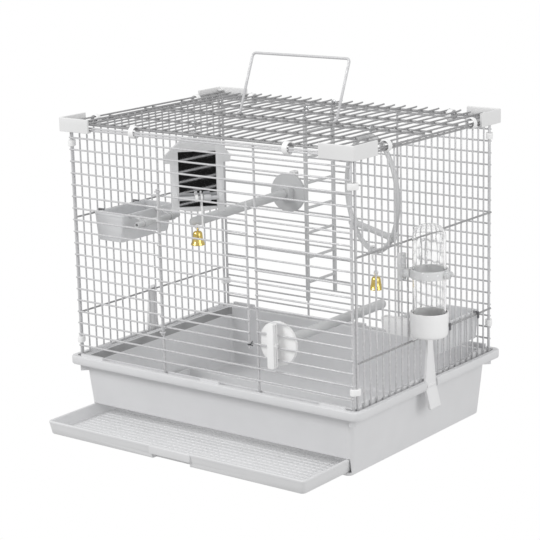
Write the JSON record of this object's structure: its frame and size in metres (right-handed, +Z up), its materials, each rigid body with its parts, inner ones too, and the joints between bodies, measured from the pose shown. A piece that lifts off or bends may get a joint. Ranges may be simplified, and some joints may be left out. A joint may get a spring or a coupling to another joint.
{
  "type": "folding bird cage",
  "caption": "Folding wire bird cage on a plastic base with slide-out tray, hinged door, carry handle, perches, swing, ladder, mirror, feeders and drinker.",
  "frame": {"origin": "floor level under the middle of the cage, on the pad below the tub's floor", "axes": "+X to the right seen from the door side, +Y to the back, +Z up"},
  "size_m": [0.3912, 0.3111, 0.3636],
  "materials": {
    "wire_paint": "gloss silver-grey powder coat",
    "tub_plastic": "satin moulded plastic, light grey",
    "tray_plastic": "satin moulded plastic, light grey",
    "white_plastic": "gloss moulded plastic, white",
    "grey_plastic": "satin moulded plastic, grey",
    "clear_plastic": "clear moulded plastic",
    "mirror_glass": "polished",
    "bell_brass": "polished gold plate",
    "steel_wire": "bright zinc plate",
    "dark_metal": "blackened spring steel"
  },
  "bodies": {
    "cage": {"base_tub": "tub_plastic", "front_panel": "wire_paint", "back_panel": "wire_paint", "left_panel": "wire_paint", "right_panel": "wire_paint", "top_panel": "wire_paint", "ring_clips": "white_plastic", "corner_clips": "white_plastic", "bracket_front_left": "white_plastic", "bracket_front_right": "white_plastic", "bracket_rear_left": "white_plastic", "bracket_rear_right": "white_plastic", "latch_pins": "steel_wire", "mirror_hook": "steel_wire", "perch_upper_clamp": "white_plastic", "perch_lower_clamp": "white_plastic", "drinker_holder": "grey_plastic", "drinker_cup": "white_plastic"},
    "tray": {"slide_tray": "tray_plastic"},
    "door": {"front_door": "wire_paint", "door_hook": "dark_metal"},
    "handle": {"carry_handle": "wire_paint"},
    "latch_right": {"latch_right": "tub_plastic"},
    "latch_left": {"latch_left": "tub_plastic"},
    "swing": {"swing_ring": "grey_plastic", "swing_perch": "grey_plastic", "swing_hook": "steel_wire", "swing_bell_hook": "steel_wire"},
    "swing_bell": {"swing_bell": "bell_brass", "swing_bell_clapper": "bell_brass"},
    "mirror": {"mirror_frame": "grey_plastic", "mirror_glass": "mirror_glass", "mirror_bar": "grey_plastic", "mirror_bell_hook": "white_plastic"},
    "mirror_bar_ring": {"mirror_bar_ring": "white_plastic"},
    "mirror_bar_knob": {"mirror_bar_knob": "grey_plastic"},
    "mirror_bell": {"mirror_bell": "bell_brass", "mirror_bell_clapper": "bell_brass"},
    "ladder": {"ladder": "grey_plastic", "ladder_hooks": "steel_wire"},
    "perch_upper": {"perch_upper_rod": "grey_plastic", "perch_upper_disc": "grey_plastic"},
    "perch_lower": {"perch_lower_rod": "grey_plastic", "perch_lower_disc": "grey_plastic"},
    "feeder_left": {"feeder_left": "grey_plastic", "feeder_left_perch": "grey_plastic"},
    "feeder_right": {"feeder_right": "grey_plastic", "feeder_right_perch": "grey_plastic"},
    "drinker_tube": {"drinker_tube": "clear_plastic"},
    "drinker_screw": {"drinker_screw": "steel_wire"}
  },
  "joints": [
    {"name": "tray_slide", "type": "slide", "parent": "cage", "child": "tray", "axis": [0, 1, 0], "range_m": [-0.12, 0.07]},
    {"name": "door_hinge", "type": "hinge", "parent": "cage", "child": "door", "pos_m": [-0.0525, -0.1234, 0.1789], "axis": [0, 0, -1], "range_deg": [0, 165]},
    {"name": "handle_fold", "type": "hinge", "parent": "cage", "child": "handle", "pos_m": [0.00335, 0.008, 0.3032], "axis": [1, 0, 0], "range_deg": [-60, 98]},
    {"name": "latch_right_tilt", "type": "hinge", "parent": "cage", "child": "latch_right", "pos_m": [0.1729, -0.002, 0.064], "axis": [0, 1, 0], "range_deg": [0, 35]},
    {"name": "latch_left_tilt", "type": "hinge", "parent": "cage", "child": "latch_left", "pos_m": [-0.1729, -0.002, 0.064], "axis": [0, -1, 0], "range_deg": [0, 35]},
    {"name": "swing_swing", "type": "hinge", "parent": "cage", "child": "swing", "pos_m": [0.1105, -0.004, 0.3032], "axis": [1, 0, 0], "range_deg": [-15, 15]},
    {"name": "swing_bell_swing", "type": "hinge", "parent": "swing", "child": "swing_bell", "pos_m": [0.1143, -0.004, 0.1638], "axis": [1, 0, 0], "range_deg": [-18, 18]},
    {"name": "mirror_turn", "type": "hinge", "parent": "cage", "child": "mirror", "pos_m": [-0.0585, -0.058, 0.29], "axis": [0, 0, 1], "range_deg": [-30, 40]},
    {"name": "mirror_ring_spin", "type": "hinge", "parent": "mirror", "child": "mirror_bar_ring", "pos_m": [-0.05236, -0.06458, 0.2314], "axis": [0.7314, 0.682, 0], "continuous": true},
    {"name": "mirror_knob_spin", "type": "hinge", "parent": "mirror", "child": "mirror_bar_knob", "pos_m": [-0.05236, -0.06458, 0.2314], "axis": [0.7314, 0.682, 0], "continuous": true},
    {"name": "mirror_bell_swing", "type": "hinge", "parent": "mirror", "child": "mirror_bell", "pos_m": [-0.05324, -0.0654, 0.2009], "axis": [0.7314, 0.682, 0], "range_deg": [-18, 18]},
    {"name": "ladder_swing", "type": "hinge", "parent": "cage", "child": "ladder", "pos_m": [-0.013, 0.084, 0.3049], "axis": [0, 1, 0], "range_deg": [-12, 12]},
    {"name": "perch_upper_turn", "type": "hinge", "parent": "cage", "child": "perch_upper", "pos_m": [-0.0758, 0.113, 0.205], "axis": [-0.0635, 0.998, 0], "continuous": true},
    {"name": "perch_lower_turn", "type": "hinge", "parent": "cage", "child": "perch_lower", "pos_m": [0.0805, -0.1144, 0.1173], "axis": [0, 1, 0], "continuous": true},
    {"name": "feeder_left_lift", "type": "slide", "parent": "cage", "child": "feeder_left", "axis": [0, 0, 1], "range_m": [0, 0.012]},
    {"name": "feeder_right_lift", "type": "slide", "parent": "cage", "child": "feeder_right", "axis": [0, 0, 1], "range_m": [0, 0.012]},
    {"name": "drinker_tube_lift", "type": "slide", "parent": "cage", "child": "drinker_tube", "axis": [0, 0, 1], "range_m": [0, 0.06]},
    {"name": "drinker_screw_turn", "type": "hinge", "parent": "cage", "child": "drinker_screw", "pos_m": [0.209, -0.0275, 0.1799], "axis": [0, 1, 0], "continuous": true}
  ]
}
